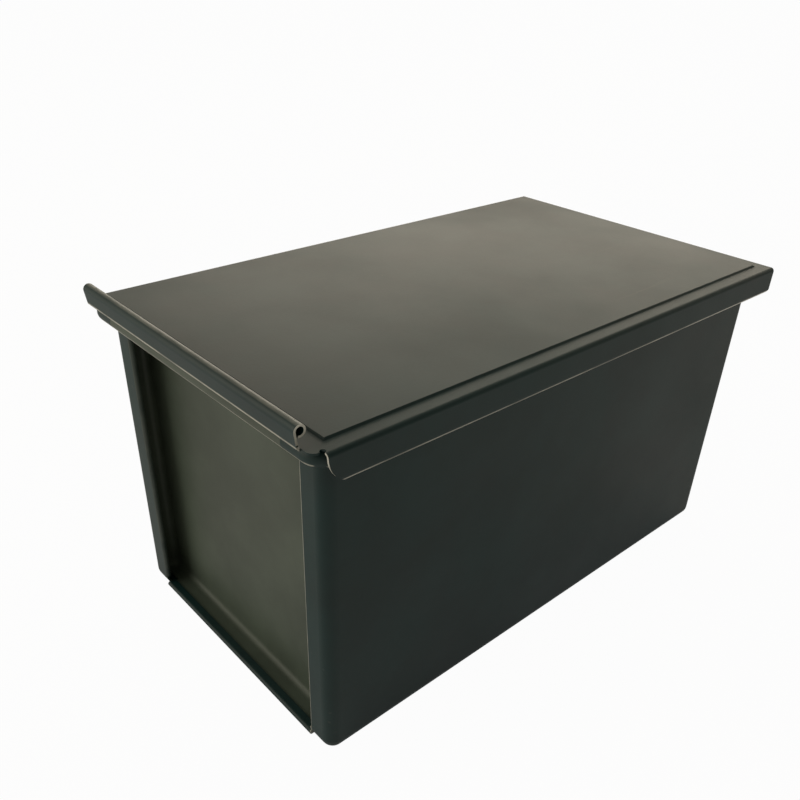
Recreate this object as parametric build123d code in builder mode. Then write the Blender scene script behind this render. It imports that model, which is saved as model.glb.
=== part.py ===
from build123d import *
import math
import os

# Pullman loaf pan in folded steel sheet, with a lid that slides off along X.
# Millimetres. The origin is the middle of the underside, +Z is up, and the lid's pull lip is at -X.

# Sheet, wire and fits
sheet = 0.6               # every folded piece is cut from this sheet
wire_radius = 2.0         # wire ring inside the rim roll
wire_fit = 0.05           # between the wire and the roll that wraps it
seam_fit = 0.05           # between sheets that are hemmed together
lid_play = 0.25           # between the lid and the rim that it slides on
overrun = 5.0             # how far a cut passes what it cuts

# Pan
pan_length = 196.0        # over the sheet, along X
pan_width = 110.0         # over the sheet, along Y
rim_height = 109.6        # top of the rim roll
corner_radius = 4.0       # upright corners and bottom edges, outside
ring_sides = 12           # flats along the wire, and along the bore of the roll
rim_corner_radius = 4.6   # corners of the wire ring, to the middle of the wire
roll_turn = 310.0         # degrees that the sheet is rolled round the wire

# Ends
end_depth = 9.0           # how far each end panel lies behind the pan's end
end_bend = 2.8            # bend round the end panel, on its inner side
margin_width = 10.2       # wall sheet that wraps onto the end at each upright corner
hem_leg = 2.0             # edge folded back behind the end panel's flange
hem_proud = 0.15          # how far the bottom hem stands past the pan's end
ledge_drop = 4.6          # from the top of the rim down to the ledge above each end panel

# Lid
lid_overhang = 4.0        # past the pan's sheet at the plain end
lid_front = 5.6           # past the pan's sheet at the lip end
panel_rise = 0.55         # raised panel, above the flat border
panel_slope = 45.0        # degrees
border_width = 5.4        # border along each side, outside of the channel included
border_end = 4.3          # border across each end
shoulder_radius = 1.3     # top edge of the side channels, outside
channel_depth = 9.6       # side channel, from the top of the border
channel_bend = 2.1        # bottom edge of the side channels, outside
channel_lip = 3.3         # edge turned in under the rim
channel_start = 2.4       # where the channels start, past the pan's sheet at the lip end
channel_round = 8.5       # lower corner of the channels at the lip end
back_round = 1.5          # and at the plain end
tab_width = 116.9         # front of the lid, between the channel ends
tab_radius = 2.0
relief_radius = 0.8       # notch between the front of the lid and each channel end

# Pull lip
lip_width = 109.0
lip_bend = 1.2            # outside
lip_lean = 8.0            # degrees from upright, away from the pan
lip_rise = 3.9            # straight part of the lip
curl_radius = 1.7
curl_turn = 300.0         # degrees

half_length = pan_length / 2
half_width = pan_width / 2
roll_radius = wire_radius + wire_fit + sheet
roll_z = rim_height - roll_radius
rim_x = half_length + roll_radius - sheet
rim_y = half_width + roll_radius - sheet
seam_y = half_width - margin_width
hem_radius = (3 * sheet + 2 * seam_fit) / 2
ledge_z = rim_height - ledge_drop
tray_inset = sheet + seam_fit


def pan_block(inset, top):
    """Solid that follows the pan's outside, drawn in by inset, up to the height top."""
    with BuildPart() as block:
        with BuildSketch(Plane.XY.offset(inset)):
            Rectangle(pan_length - 2 * inset, pan_width - 2 * inset)
        extrude(amount=top - inset)
        base_edges = block.faces().sort_by(Axis.Z)[0].edges()
        fillet(block.edges().filter_by(Axis.Z) + base_edges, radius=corner_radius - inset)
    return block.part


def tray_block(inset):
    """Solid that follows an end panel and its flanges, drawn in by inset."""
    with BuildPart() as block:
        add(pan_block(tray_inset + inset, ledge_z - inset))
        split(bisect_by=Plane.YZ.offset(end_depth + sheet - inset - half_length), keep=Keep.BOTTOM)
        fillet(block.faces().sort_by(Axis.X)[-1].edges(), radius=end_bend - inset)
    return block.part


# Sheet folded back on itself: the nose is at the origin and the sheet comes from +x
with BuildSketch() as hem_section:
    with BuildLine():
        nose = CenterArc((hem_radius, hem_radius), hem_radius, 270, -180)
        Line(nose @ 1, nose @ 1 + Vector(hem_leg, 0))
        offset(amount=sheet, side=Side.RIGHT)
    make_face()

# Sheet rolled round the wire, whose middle is at the origin, with the wall below it at -x.
# Its bore has flats, and the roll stays open for the rest of the turn.
flat_turn = 180 / ring_sides
gap_reach = 2 * roll_radius
gap_turn = math.radians(180 - roll_turn)
with BuildSketch() as roll_section:
    Circle(roll_radius)
    RegularPolygon(
        roll_radius - sheet,
        ring_sides,
        major_radius=False,
        rotation=flat_turn,
        mode=Mode.SUBTRACT,
    )
    with BuildLine():
        Polyline(
            (0, 0),
            (-gap_reach, 0),
            (gap_reach * math.cos(gap_turn), gap_reach * math.sin(gap_turn)),
            close=True,
        )
    make_face(mode=Mode.SUBTRACT)

# Hems of the wrapper sheet: one at the bottom of each end, one beside each upright corner
hem_top = ledge_z - sheet - seam_fit
hem_plane = Plane((-half_length, seam_y, hem_top), x_dir=(0, 1, 0), z_dir=(0, 0, -1))
base_hem_plane = Plane((-half_length - hem_proud, 0, 0), x_dir=(1, 0, 0), z_dir=(0, -1, 0))
with BuildPart() as hems:
    with BuildSketch(hem_plane):
        add(hem_section.sketch)
    extrude(amount=hem_top - corner_radius)
    mirror(about=Plane.XZ)
    with BuildSketch(base_hem_plane):
        add(hem_section.sketch)
        hem_flat = corner_radius + hem_proud - hem_radius
        with Locations((hem_radius, 0)):
            Rectangle(hem_flat, sheet, align=(Align.MIN, Align.MIN))
    extrude(amount=seam_y, both=True)
    mirror(about=Plane.YZ)

# Rim roll of one long side, round both its corners to the seams with the end panels
roll_plane = Plane((-rim_x, -seam_y, roll_z), x_dir=(-1, 0, 0), z_dir=(0, 1, 0))
with BuildPart() as side_roll:
    with BuildLine():
        FilletPolyline(
            (-rim_x, -seam_y, roll_z),
            (-rim_x, -rim_y, roll_z),
            (rim_x, -rim_y, roll_z),
            (rim_x, -seam_y, roll_z),
            radius=rim_corner_radius,
        )
    with BuildSketch(roll_plane):
        add(roll_section.sketch)
    sweep()

# Wrapper: bottom, long walls and the margins of the ends, open between the margins
with BuildPart() as body_sheet:
    add(pan_block(0, roll_z))
    add(pan_block(sheet, roll_z), mode=Mode.SUBTRACT)
    # The walls' top edge spreads out to the rim roll, which turns its corners more tightly
    with BuildSketch(Plane.XY.offset(roll_z - sheet)):
        RectangleRounded(pan_length, pan_width, rim_corner_radius - roll_radius + sheet)
        RectangleRounded(
            pan_length - 2 * sheet,
            pan_width - 2 * sheet,
            corner_radius - sheet,
            mode=Mode.SUBTRACT,
        )
    extrude(amount=sheet)
    # Ends
    with BuildSketch():
        with Locations((-half_length, 0), (half_length, 0)):
            Rectangle(2 * corner_radius, 2 * seam_y)
    extrude(amount=rim_height, mode=Mode.SUBTRACT)
    with BuildSketch(Plane.XY.offset(corner_radius)):
        with Locations((-half_length, 0), (half_length, 0)):
            Rectangle(2 * corner_radius, 2 * (seam_y + hem_radius))
    extrude(amount=hem_top - corner_radius, mode=Mode.SUBTRACT)
    add(hems.part)
    add(side_roll.part)
    add(mirror(side_roll.part, about=Plane.XZ))

# End panel: a shallow tray that opens outward and fits inside the wrapper
tray_x = half_length - tray_inset
flange_y = seam_y + hem_radius + seam_fit
grip_x = half_length + hem_proud - hem_radius
with BuildSketch() as top_section:
    # The roll, with the upstand and the edge of the ledge that carry it
    add(roll_section.sketch)
    with BuildLine():
        Polyline(
            (tray_x - sheet - rim_x, ledge_z - roll_z),
            (-roll_radius, ledge_z - roll_z),
            (-roll_radius, 0),
        )
        offset(amount=sheet, side=Side.RIGHT)
    make_face()

with BuildPart() as front_end_panel:
    add(tray_block(0))
    add(tray_block(sheet), mode=Mode.SUBTRACT)
    # Open the tray between the margins, and lay its lower flange flat into the bottom hem
    with BuildSketch(Plane.XY.offset(corner_radius)):
        with Locations((-half_length, 0)):
            Rectangle(2 * (tray_inset + sheet), 2 * flange_y)
    extrude(amount=ledge_z - sheet - corner_radius, mode=Mode.SUBTRACT)
    with BuildSketch():
        with Locations((-half_length, 0)):
            Rectangle(2 * corner_radius, pan_width)
    extrude(amount=corner_radius, mode=Mode.SUBTRACT)
    with BuildSketch(Plane.XY.offset(tray_inset)):
        with Locations((-grip_x, 0)):
            Rectangle(
                grip_x - half_length + corner_radius,
                2 * (seam_y - seam_fit),
                align=(Align.MIN, Align.CENTER),
            )
    extrude(amount=sheet)
    # Ledge, upstand and the end's length of rim roll
    with BuildSketch(Plane((-rim_x, 0, roll_z), x_dir=(-1, 0, 0), z_dir=(0, 1, 0))):
        add(top_section.sketch)
    extrude(amount=seam_y - seam_fit, both=True)

with BuildPart() as rear_end_panel:
    add(mirror(front_end_panel.part, about=Plane.YZ))

# Wire ring, one half swept and mirrored
with BuildPart() as rim_wire:
    with BuildLine():
        FilletPolyline(
            (0, -rim_y, roll_z),
            (rim_x, -rim_y, roll_z),
            (rim_x, rim_y, roll_z),
            (0, rim_y, roll_z),
            radius=rim_corner_radius,
        )
    with BuildSketch(Plane.YZ):
        with Locations((-rim_y, roll_z)):
            RegularPolygon(wire_radius, ring_sides, major_radius=False, rotation=flat_turn)
    sweep()
    mirror(about=Plane.YZ)

# Lid
border_z = rim_height + lid_play
lid_y = rim_y + roll_radius + lid_play + sheet
channel_z = border_z + sheet - channel_depth
lid_back_x = half_length + lid_overhang
lid_front_x = -half_length - lid_front
channel_x = -half_length - channel_start
crease_y = lid_y - border_width
crease_x = lid_back_x - border_end
# The step up to the panel slopes, and the sheet keeps its thickness on it
step_shift = sheet * math.tan(math.radians(panel_slope / 2))
with BuildSketch() as lip_section:
    # Outside of the lip, from the border up and away from the pan, then curled back over the lid
    with BuildLine():
        run = Line((lid_front_x + lip_bend, border_z), (lid_front_x, border_z))
        bend = JernArc(run @ 1, run % 1, lip_bend, lip_lean - 90)
        rise = Line(bend @ 1, bend @ 1 + lip_rise * (bend % 1))
        offset(amount=sheet, side=Side.RIGHT)
    make_face()
    with BuildLine():
        JernArc(rise @ 1, rise % 1, curl_radius, -curl_turn)
        offset(amount=sheet, side=Side.RIGHT)
    make_face()

with BuildPart() as lid:
    with BuildSketch(Plane.YZ.offset(lid_front_x)):
        with BuildLine():
            FilletPolyline(
                (channel_lip - lid_y, channel_z),
                (-lid_y, channel_z),
                (-lid_y, border_z + sheet),
                (lid_y, border_z + sheet),
                (lid_y, channel_z),
                (lid_y - channel_lip, channel_z),
                radius=[channel_bend, shoulder_radius, shoulder_radius, channel_bend],
            )
            offset(amount=sheet, side=Side.RIGHT)
        make_face()
    extrude(amount=lid_back_x - lid_front_x)
    # Panel pressed up inside the border
    for height, inset, mode in ((border_z + sheet, 0, Mode.ADD), (border_z, step_shift, Mode.SUBTRACT)):
        with BuildSketch(Plane.XY.offset(height)):
            Rectangle(2 * (crease_x - inset), 2 * (crease_y - inset))
        extrude(amount=panel_rise, taper=panel_slope, mode=mode)
    # Channel ends, with their lower corners rounded
    with BuildSketch(Plane.XZ):
        with Locations((channel_x, channel_z)):
            Rectangle(
                channel_x - lid_front_x + overrun,
                border_z - channel_z,
                align=(Align.MAX, Align.MIN),
            )
            Rectangle(channel_round, channel_round, align=(Align.MIN, Align.MIN))
        with Locations((lid_back_x, channel_z)):
            Rectangle(back_round, back_round, align=(Align.MAX, Align.MIN))
        with Locations((channel_x + channel_round, channel_z + channel_round)):
            Circle(channel_round, mode=Mode.SUBTRACT)
        with Locations((lid_back_x - back_round, channel_z + back_round)):
            Circle(back_round, mode=Mode.SUBTRACT)
    extrude(amount=lid_y + overrun, both=True, mode=Mode.SUBTRACT)
    # Front of the lid: rounded corners, and a notch beside each channel end
    with BuildSketch(Plane.XY.offset(border_z)):
        with Locations((channel_x, 0)):
            Rectangle(
                channel_x - lid_front_x + 2 * overrun,
                2 * (lid_y + overrun),
                align=(Align.MAX, Align.CENTER),
            )
        with Locations((lid_front_x, 0)):
            RectangleRounded(
                lid_back_x - lid_front_x,
                tab_width,
                tab_radius,
                align=(Align.MIN, Align.CENTER),
                mode=Mode.SUBTRACT,
            )
        with Locations((channel_x, -tab_width / 2), (channel_x, tab_width / 2)):
            Circle(relief_radius)
    extrude(amount=sheet, mode=Mode.SUBTRACT)
    with BuildSketch(Plane.XZ):
        add(lip_section.sketch)
    extrude(amount=lip_width / 2, both=True)

os.makedirs("parts", exist_ok=True)

body_sheet.part.label = "body_sheet"
export_step(body_sheet.part, "parts/body_sheet.step")

front_end_panel.part.label = "front_end_panel"
export_step(front_end_panel.part, "parts/front_end_panel.step")

rear_end_panel.part.label = "rear_end_panel"
export_step(rear_end_panel.part, "parts/rear_end_panel.step")

rim_wire.part.label = "rim_wire"
export_step(rim_wire.part, "parts/rim_wire.step")

lid.part.label = "lid"
export_step(lid.part, "parts/lid.step")
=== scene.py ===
"""Pullman loaf pan with its sliding lid: materials, light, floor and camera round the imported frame."""
import math

import bpy
from mathutils import Matrix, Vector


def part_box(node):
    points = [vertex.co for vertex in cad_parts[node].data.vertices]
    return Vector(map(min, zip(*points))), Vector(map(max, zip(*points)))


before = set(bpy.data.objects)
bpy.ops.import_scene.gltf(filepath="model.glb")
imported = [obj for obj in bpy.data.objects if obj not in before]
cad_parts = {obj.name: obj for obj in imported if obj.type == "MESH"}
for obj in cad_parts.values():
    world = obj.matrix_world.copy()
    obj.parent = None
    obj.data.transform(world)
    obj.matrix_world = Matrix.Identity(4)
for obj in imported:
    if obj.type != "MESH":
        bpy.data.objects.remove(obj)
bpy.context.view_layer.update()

MM = 0.001
WHITE = (1.0, 1.0, 1.0)

# Coating of the wrapper and the lid, coating of the end panels, and what shows on them
COATING = (0.0075, 0.0350, 0.0365)
# End panels: a lighter copy of the coating, partly painted light standing in for the brighter light on
# the end faces
PANEL_COATING_WITH_PAINTED_LIGHT = (0.090, 0.116, 0.092)
TONE_SHARES = (0.8, 1.22)
DUST = (0.30, 0.29, 0.25)
DUST_COVER = 0.35
SCRATCH = (0.10, 0.11, 0.10)
SCRATCH_COVER = 0.25
SCRATCH_STRETCH = (9.0, 420.0, 420.0)
SCRATCH_TURN = 0.12
# Light colour, metal share and patches of the painted highlights on bends, and of the bare worn metal at
# cut edges
EDGE_HIGHLIGHT_AND_WEAR = (0.82, 0.82, 0.74)
HIGHLIGHT_AND_WEAR_METAL = 0.55
HIGHLIGHT_AND_WEAR_PATCHES = (0.45, 1.0)

# Surface of the coating
COATING_IOR = 1.45
SATIN = (0.40, 0.48)
GRAIN_ROUGHNESS = 0.04
# Roughness change where the painted highlights and the edge wear are
HIGHLIGHT_AND_WEAR_ROUGHNESS = -0.14
DUST_ROUGHNESS = 0.3
RIPPLE_TO_GRAIN = 6.0
COATING_BUMP = {"Strength": 0.16, "Distance": 0.00012}

# Drawn wire
DULL_STEEL = (0.42, 0.41, 0.39)
CLEAN_STEEL = (0.58, 0.57, 0.55)
STEEL_ROUGHNESS = (0.26, 0.38)
DRAWING_STRETCH = (60.0, 60.0, 2600.0)
DRAWING_BUMP = {"Strength": 0.2, "Distance": 0.00005}

# Most of a noise's values lie in this range
NOISE_RANGE = (0.3, 0.7)

# Fades of the painted highlights and the edge wear, as distances in from the box of a piece: none at the
# first, full at the second
BEND_FADE = (1.6 * MM, 1.2 * MM)
CURL_FADE = (0.3 * MM, 0.05 * MM)
LIP_END_FADE = (5 * MM, 4 * MM)
CHANNEL_END_FADE = (1.5 * MM, 1.2 * MM)
PLAIN_END_FADE = (MM, 0.5 * MM)
HEM_TOP_FADE = (6 * MM, 7 * MM)

# The same along X, as distances from the middle of the tin
HEM_END_FADE = (95.5 * MM, 96.5 * MM)
BASE_END_FADE = (97 * MM, 97.4 * MM)

# The same for a face that looks along an axis, by that part of its normal
FACING = (0.6, 0.8)
FACING_LIP = (-0.35, -0.6)

# How much of the painted highlights and the edge wear shows at each place, where it isn't all
FOLD_HIGHLIGHT = 0.8
CURL_HIGHLIGHT = 0.22
PLAIN_END_WEAR = 0.6
BASE_HIGHLIGHT = 0.8
HEM_HIGHLIGHT = (0.12, 0.9)

# Depth of places on the lid and the wrapper, in from their boxes
LIP_DEPTH = 5.3 * MM
HEM_DEPTH = 14.9 * MM

# Floor, and its share of plain white for the camera and for reflections
FLOOR_REACH = 8.0
FLOOR_PAINT = (0.82, 0.81, 0.79)
FLOOR_SEEN = 0.97
FLOOR_MIRRORED = 0.22

# Studio: directions from the tin, where the light of each begins and is full, and its strength
UP = (0.0, 0.0, 1.0)
BACK = (0.80, 0.60, 0.0)
BACK_SPREAD = (0.60, 0.98)
BACK_HEIGHT = (0.52, 0.22)
BACK_STRENGTH = 2.6
LEFT = (-0.86, 0.48, 0.17)
LEFT_SPREAD = (0.45, 0.95)
LEFT_STRENGTH = 0.25
FRONT = (-0.25, -0.90, 0.36)
FRONT_SPREAD = (-0.1, 0.65)
FRONT_SHARE = 0.4
ROOM_STRENGTH = 0.34
ROOM_TINT = (1.0, 0.90, 0.74)

# Camera fitted to the photograph: place in metres, angles in degrees
CAMERA_PLACE = (-0.19175, -0.18353, 0.20654)
CAMERA_HEADING = -42.623
CAMERA_DIP = 32.883
CAMERA_ROLL = 1.972


class Nodes:
    """Short calls for building one node tree."""

    def __init__(self, tree):
        self.tree = tree
        tree.nodes.clear()

    def add(self, kind, inputs=None, **settings):
        node = self.tree.nodes.new(kind)
        for name, value in settings.items():
            setattr(node, name, value)
        for socket, value in (inputs or {}).items():
            self.put(node.inputs[socket], value)
        return node

    def put(self, socket, value):
        if isinstance(value, bpy.types.NodeSocket):
            self.tree.links.new(value, socket)
        else:
            socket.default_value = value

    def math(self, operation, a, b=0.0, c=0.0, clamp=False):
        node = self.add(
            "ShaderNodeMath", {0: a, 1: b, 2: c}, operation=operation, use_clamp=clamp
        )
        return node.outputs[0]

    def noise(self, where, scale, detail=2.0, rough=0.5, offset=0.0):
        node = self.add(
            "ShaderNodeTexNoise",
            {
                "Vector": where,
                "Scale": scale,
                "Detail": detail,
                "Roughness": rough,
                "W": offset,
            },
            noise_dimensions="4D",
        )
        return node.outputs["Fac"]

    def remap(self, value, low, high, to_low=0.0, to_high=1.0):
        """Smooth step from to_low at low to to_high at high, where low may be the larger."""
        node = self.add(
            "ShaderNodeMapRange",
            {
                "Value": value,
                "From Min": low,
                "From Max": high,
                "To Min": to_low,
                "To Max": to_high,
            },
            interpolation_type="SMOOTHSTEP",
        )
        return node.outputs["Result"]

    def over(self, value, face, fade):
        """Mask by distance over a low face, zero at fade[0] and one at fade[1]."""
        return self.remap(value, face + fade[0], face + fade[1])

    def under(self, value, face, fade):
        """Mask by distance under a high face, zero at fade[0] and one at fade[1]."""
        return self.remap(value, face - fade[0], face - fade[1])

    def band(self, value, low, high, soft):
        """One between low and high, falling to zero over soft on each side."""
        up = self.remap(value, low - soft, low)
        down = self.remap(value, high, high + soft, 1.0, 0.0)
        return self.math("MULTIPLY", up, down)

    def all_of(self, *masks):
        result = masks[0]
        for mask in masks[1:]:
            result = self.math("MULTIPLY", result, mask)
        return result

    def any_of(self, *masks):
        result = masks[0]
        for mask in masks[1:]:
            result = self.math("MAXIMUM", result, mask)
        return result

    def mix(self, share, a, b):
        node = self.add("ShaderNodeMix", data_type="RGBA")
        self.put(node.inputs["Factor"], share)
        self.put(node.inputs["A"], a)
        self.put(node.inputs["B"], b)
        return node.outputs["Result"]

    def parts(self, vector):
        """X, Y and Z of a vector."""
        outputs = self.add("ShaderNodeSeparateXYZ", {0: vector}).outputs
        return outputs["X"], outputs["Y"], outputs["Z"]

    def towards(self, direction, place):
        """How far place lies in a direction."""
        node = self.add("ShaderNodeVectorMath", operation="DOT_PRODUCT")
        self.put(node.inputs[0], place)
        self.put(node.inputs[1], direction)
        return node.outputs["Value"]


def rgba(colour, share=1.0):
    return (*(share * c for c in colour), 1.0)


def new_material(name):
    material = bpy.data.materials.new(name)
    material.use_nodes = True
    return material, Nodes(material.node_tree)


def lid_highlights_and_bare_edges(n, where):
    """Painted highlights on the lid's bends, curl and cut edges, with bare metal where the coating has
    worn thin at the cut edges.
    """
    low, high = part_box("lid")
    x, y, z = n.parts(where)
    normal = n.add("ShaderNodeNewGeometry").outputs["True Normal"]
    normal_x, normal_y, _ = n.parts(normal)
    side = n.math("ABSOLUTE", y)
    # A height between the fold at the foot of the lip and the lip's upright part
    lip_foot = high[2] - LIP_DEPTH

    # Painted highlight along the lower bends of the side channels
    channel_highlight = n.band(z, low[2] - MM, low[2] + 1.15 * MM, 0.35 * MM)

    # Painted highlight along the outside of the fold
    fold_highlight = n.all_of(
        n.band(z, lip_foot - 1.6 * MM, lip_foot - 0.5 * MM, 0.3 * MM),
        n.over(x, low[0], BEND_FADE),
    )

    # Painted highlight along the top of the curl
    curl_highlight = n.math("MULTIPLY", n.under(z, high[2], CURL_FADE), CURL_HIGHLIGHT)

    # Cut ends of the lip, at both sides: bare worn metal, made brighter as a painted highlight
    lip_end = n.all_of(
        n.remap(n.math("ABSOLUTE", normal_y), *FACING),
        n.over(x, low[0], LIP_END_FADE),
        n.remap(z, lip_foot, lip_foot + 0.3 * MM),
    )

    # Cut ends of the side channels, towards the lip: bare worn metal, made brighter as a painted
    # highlight
    channel_end = n.all_of(
        n.remap(normal_x, *FACING_LIP),
        n.under(side, high[1], CHANNEL_END_FADE),
        n.remap(z, lip_foot, lip_foot - MM),
    )

    # Cut edge at the plain end
    plain_end = n.all_of(
        n.remap(normal_x, *FACING), n.under(x, high[0], PLAIN_END_FADE), PLAIN_END_WEAR
    )
    return n.any_of(
        channel_highlight, n.math("MULTIPLY", fold_highlight, FOLD_HIGHLIGHT), curl_highlight, lip_end, channel_end, plain_end
    )


def rim_highlights(n, where):
    """Painted highlights on the underside of the rim roll, on the noses of the hems and along the lower
    edge of each end.
    """
    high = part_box("body_sheet")[1]
    x, y, z = n.parts(where)
    end = n.math("ABSOLUTE", x)
    side = n.math("ABSOLUTE", y)

    # Painted highlight on the underside of the roll, on its outer side
    roll_highlight = n.all_of(
        n.band(z, high[2] - 5.1 * MM, high[2] - 3.95 * MM, 0.3 * MM),
        n.any_of(n.under(end, high[0], BEND_FADE), n.under(side, high[1], BEND_FADE)),
    )

    # Painted highlight on the upright hems below the roll, stronger on the -Y side of the tin
    hem_side = high[1] - HEM_DEPTH
    hem_highlight = n.all_of(
        n.band(side, hem_side - 0.15 * MM, hem_side + 0.7 * MM, 0.2 * MM),
        n.remap(end, *HEM_END_FADE),
        n.under(z, high[2], HEM_TOP_FADE),
        n.remap(y, 0.0, -MM, *HEM_HIGHLIGHT),
    )

    # Painted highlight along the lower edge of each end
    base_highlight = n.all_of(n.band(z, -MM, 0.5 * MM, 0.3 * MM), n.remap(end, *BASE_END_FADE))
    return n.any_of(roll_highlight, hem_highlight, n.math("MULTIPLY", base_highlight, BASE_HIGHLIGHT))


def coated_steel(name, seed, edges, coating=COATING):
    """Dark satin non-stick coating on sheet steel, with painted highlights and bare worn metal where the
    mask from edges is high.
    """
    material, n = new_material(name)
    where = n.add("ShaderNodeTexCoord").outputs["Object"]

    # Uneven coating, with handling marks
    tone = n.noise(where, scale=26.0, detail=4.0, rough=0.6, offset=seed)
    grain = n.noise(where, scale=1500.0, detail=2.0, rough=0.6, offset=seed + 1)
    smudge = n.noise(where, scale=12.0, detail=5.0, rough=0.62, offset=seed + 2)
    darker, lighter = (rgba(coating, share) for share in TONE_SHARES)
    colour = n.mix(n.remap(tone, *NOISE_RANGE), darker, lighter)

    # Specks of dust, in patches
    speck = n.add(
        "ShaderNodeTexVoronoi",
        {"Vector": where, "Scale": 130.0, "Randomness": 1.0},
        feature="F1",
    ).outputs["Distance"]
    dusty = n.noise(where, scale=40.0, detail=2.0, rough=0.5, offset=seed + 3)
    dust = n.all_of(n.remap(speck, 0.05, 0.03), n.remap(dusty, 0.6, 0.68))
    colour = n.mix(n.math("MULTIPLY", dust, DUST_COVER), colour, rgba(DUST))

    # Fine scratches from the lid and from stacking, in patches
    stretch = n.add(
        "ShaderNodeMapping",
        {"Vector": where, "Scale": SCRATCH_STRETCH, "Rotation": (0.0, 0.0, SCRATCH_TURN)},
    ).outputs["Vector"]
    line = n.noise(stretch, scale=1.0, detail=1.0, rough=0.5, offset=seed + 4)
    scratched = n.noise(where, scale=9.0, detail=1.0, rough=0.5, offset=seed + 5)
    scratch = n.all_of(n.remap(line, 0.70, 0.74), n.remap(scratched, 0.52, 0.62))
    colour = n.mix(n.math("MULTIPLY", scratch, SCRATCH_COVER), colour, rgba(SCRATCH))

    # Painted highlights on bends and curls, and bare metal where the coating has worn thin on cut edges
    patch = n.noise(where, scale=90.0, detail=3.0, rough=0.6, offset=seed + 6)
    patch = n.remap(patch, 0.3, 0.65, *HIGHLIGHT_AND_WEAR_PATCHES)
    highlight_and_wear = n.math("MULTIPLY", edges(n, where), patch, clamp=True)
    colour = n.mix(highlight_and_wear, colour, rgba(EDGE_HIGHLIGHT_AND_WEAR))

    rough = n.remap(smudge, *NOISE_RANGE, *SATIN)
    for mask, change in (
        (grain, GRAIN_ROUGHNESS),
        (highlight_and_wear, HIGHLIGHT_AND_WEAR_ROUGHNESS),
        (dust, DUST_ROUGHNESS),
    ):
        rough = n.math("MULTIPLY_ADD", mask, change, rough)

    ripple = n.noise(where, scale=35.0, detail=1.0, rough=0.4, offset=seed + 7)
    height = n.math("MULTIPLY_ADD", ripple, RIPPLE_TO_GRAIN, grain)
    bump = n.add("ShaderNodeBump", {"Height": height, **COATING_BUMP})
    shader = n.add(
        "ShaderNodeBsdfPrincipled",
        {
            "Base Color": colour,
            "Metallic": n.math("MULTIPLY", highlight_and_wear, HIGHLIGHT_AND_WEAR_METAL),
            "Roughness": rough,
            "IOR": COATING_IOR,
            "Normal": bump.outputs["Normal"],
        },
    )
    n.add("ShaderNodeOutputMaterial", {"Surface": shader.outputs["BSDF"]})
    return material


def drawn_wire(name):
    """Bright steel wire with fine drawing marks along it."""
    material, n = new_material(name)
    where = n.add("ShaderNodeTexCoord").outputs["Object"]
    stretch = n.add(
        "ShaderNodeMapping", {"Vector": where, "Scale": DRAWING_STRETCH}
    ).outputs["Vector"]
    marks = n.noise(stretch, scale=1.0, detail=2.0, rough=0.5)
    stain = n.noise(where, scale=120.0, detail=3.0, rough=0.6, offset=2.0)
    colour = n.mix(n.remap(stain, *NOISE_RANGE), rgba(DULL_STEEL), rgba(CLEAN_STEEL))
    bump = n.add("ShaderNodeBump", {"Height": marks, **DRAWING_BUMP})
    shader = n.add(
        "ShaderNodeBsdfPrincipled",
        {
            "Base Color": colour,
            "Metallic": 1.0,
            "Roughness": n.remap(marks, *NOISE_RANGE, *STEEL_ROUGHNESS),
            "Normal": bump.outputs["Normal"],
        },
    )
    n.add("ShaderNodeOutputMaterial", {"Surface": shader.outputs["BSDF"]})
    return material


finishes = {
    "body_sheet": coated_steel("body_coating", 0.0, rim_highlights),
    "front_end_panel": coated_steel("front_panel_coating", 10.0, rim_highlights, PANEL_COATING_WITH_PAINTED_LIGHT),
    "rear_end_panel": coated_steel("rear_panel_coating", 20.0, rim_highlights, PANEL_COATING_WITH_PAINTED_LIGHT),
    "lid": coated_steel("lid_coating", 30.0, lid_highlights_and_bare_edges),
    "rim_wire": drawn_wire("rim_wire_steel"),
}
for name, material in finishes.items():
    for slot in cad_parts[name].material_slots:
        slot.material = material

# Floor: nearly white to the camera, grey in reflections, with the object's shadow kept on it
mesh = bpy.data.meshes.new("floor")
mesh.from_pydata(
    [
        (-FLOOR_REACH, -FLOOR_REACH, 0),
        (FLOOR_REACH, -FLOOR_REACH, 0),
        (FLOOR_REACH, FLOOR_REACH, 0),
        (-FLOOR_REACH, FLOOR_REACH, 0),
    ],
    [],
    [(0, 1, 2, 3)],
)
floor = bpy.data.objects.new("floor", mesh)
bpy.context.scene.collection.objects.link(floor)
material, n = new_material("floor_paint")
path = n.add("ShaderNodeLightPath").outputs
mirrored = n.math("MAXIMUM", path["Is Glossy Ray"], path["Is Transmission Ray"])
mirrored = n.math("MULTIPLY", mirrored, FLOOR_MIRRORED)
seen = n.math("MULTIPLY_ADD", path["Is Camera Ray"], FLOOR_SEEN, mirrored, clamp=True)
paint = n.add("ShaderNodeBsdfDiffuse", {"Color": rgba(FLOOR_PAINT)})
glow = n.add("ShaderNodeEmission", {"Color": rgba(WHITE), "Strength": 1.0})
blend = n.add("ShaderNodeMixShader", {0: seen, 1: paint.outputs[0], 2: glow.outputs[0]})
n.add("ShaderNodeOutputMaterial", {"Surface": blend.outputs[0]})
mesh.materials.append(material)

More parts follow.
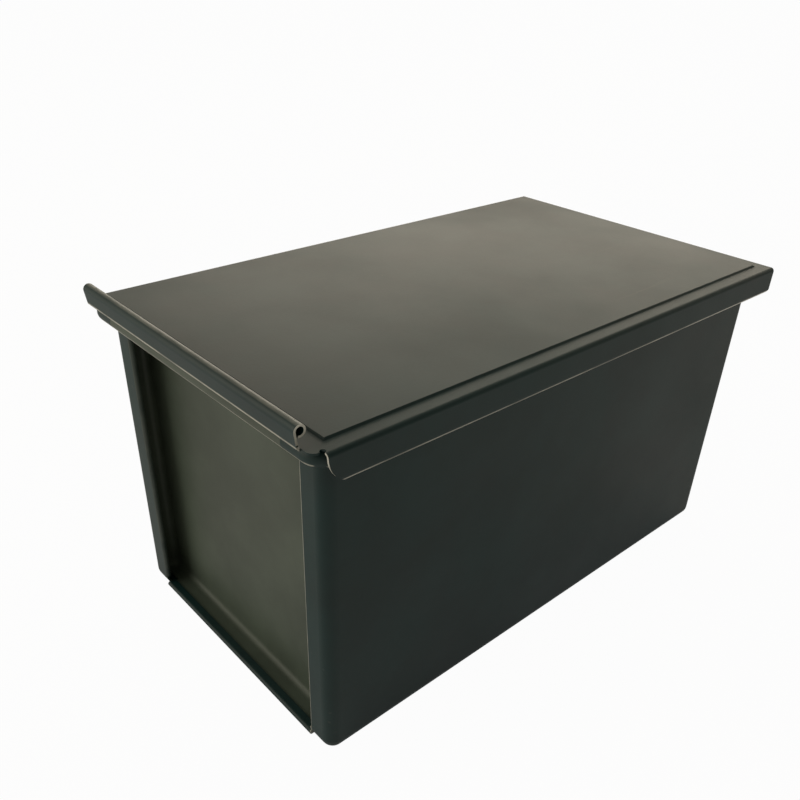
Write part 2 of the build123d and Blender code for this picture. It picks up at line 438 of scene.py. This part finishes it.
# Studio: white to the camera, and for light bright low down behind the tin and dim in front
world = bpy.data.worlds.new("studio")
bpy.context.scene.world = world
world.use_nodes = True
n = Nodes(world.node_tree)
path = n.add("ShaderNodeLightPath").outputs
seen = n.math("MAXIMUM", path["Is Camera Ray"], path["Is Transmission Ray"])
sky = n.add("ShaderNodeTexCoord").outputs["Generated"]
back = n.remap(n.towards(BACK, sky), *BACK_SPREAD)
back = n.math("MULTIPLY", back, n.remap(n.towards(UP, sky), *BACK_HEIGHT))
front = n.remap(n.towards(FRONT, sky), *FRONT_SPREAD)
left = n.remap(n.towards(LEFT, sky), *LEFT_SPREAD)
strength = n.math("MULTIPLY_ADD", back, BACK_STRENGTH, ROOM_STRENGTH)
strength = n.math("MULTIPLY_ADD", left, LEFT_STRENGTH, strength)
strength = n.math("MULTIPLY", strength, n.remap(front, 0.0, 1.0, 1.0, FRONT_SHARE))
strength = n.math("MULTIPLY_ADD", strength, n.math("SUBTRACT", 1.0, seen), seen)
tint = n.mix(seen, rgba(ROOM_TINT), rgba(WHITE))
backdrop = n.add("ShaderNodeBackground", {"Color": tint, "Strength": strength})
n.add("ShaderNodeOutputWorld", {"Surface": backdrop.outputs[0]})


def softbox(name, place, size, energy, colour):
    """Square lamp that shines at the tin."""
    lamp = bpy.data.lights.new(name, "AREA")
    lamp.shape = "SQUARE"
    lamp.size = size
    lamp.energy = energy
    lamp.color = colour
    box = bpy.data.objects.new(name, lamp)
    box.location = place
    box.rotation_euler = box.location.to_track_quat("Z", "Y").to_euler()
    bpy.context.scene.collection.objects.link(box)


softbox("softbox_above", (0.5, 0.35, 1.3), size=1.0, energy=0.6, colour=(1.0, 0.94, 0.84))
softbox("softbox_left", (-1.0, 0.6, 0.5), size=1.0, energy=3.0, colour=(1.0, 0.94, 0.80))

camera = bpy.data.cameras.new("camera")
camera.sensor_width = 36.0
camera.lens = 36.671
camera.shift_x = -0.0010
camera.shift_y = 0.08319
camera.clip_start = 0.01
eye = bpy.data.objects.new("camera", camera)
eye.matrix_world = (
    Matrix.Translation(CAMERA_PLACE)
    @ Matrix.Rotation(math.radians(CAMERA_HEADING), 4, "Z")
    @ Matrix.Rotation(math.radians(90 - CAMERA_DIP), 4, "X")
    @ Matrix.Rotation(math.radians(CAMERA_ROLL), 4, "Z")
)
bpy.context.scene.collection.objects.link(eye)
bpy.context.scene.camera = eye
bpy.context.scene.view_settings.view_transform = "Standard"
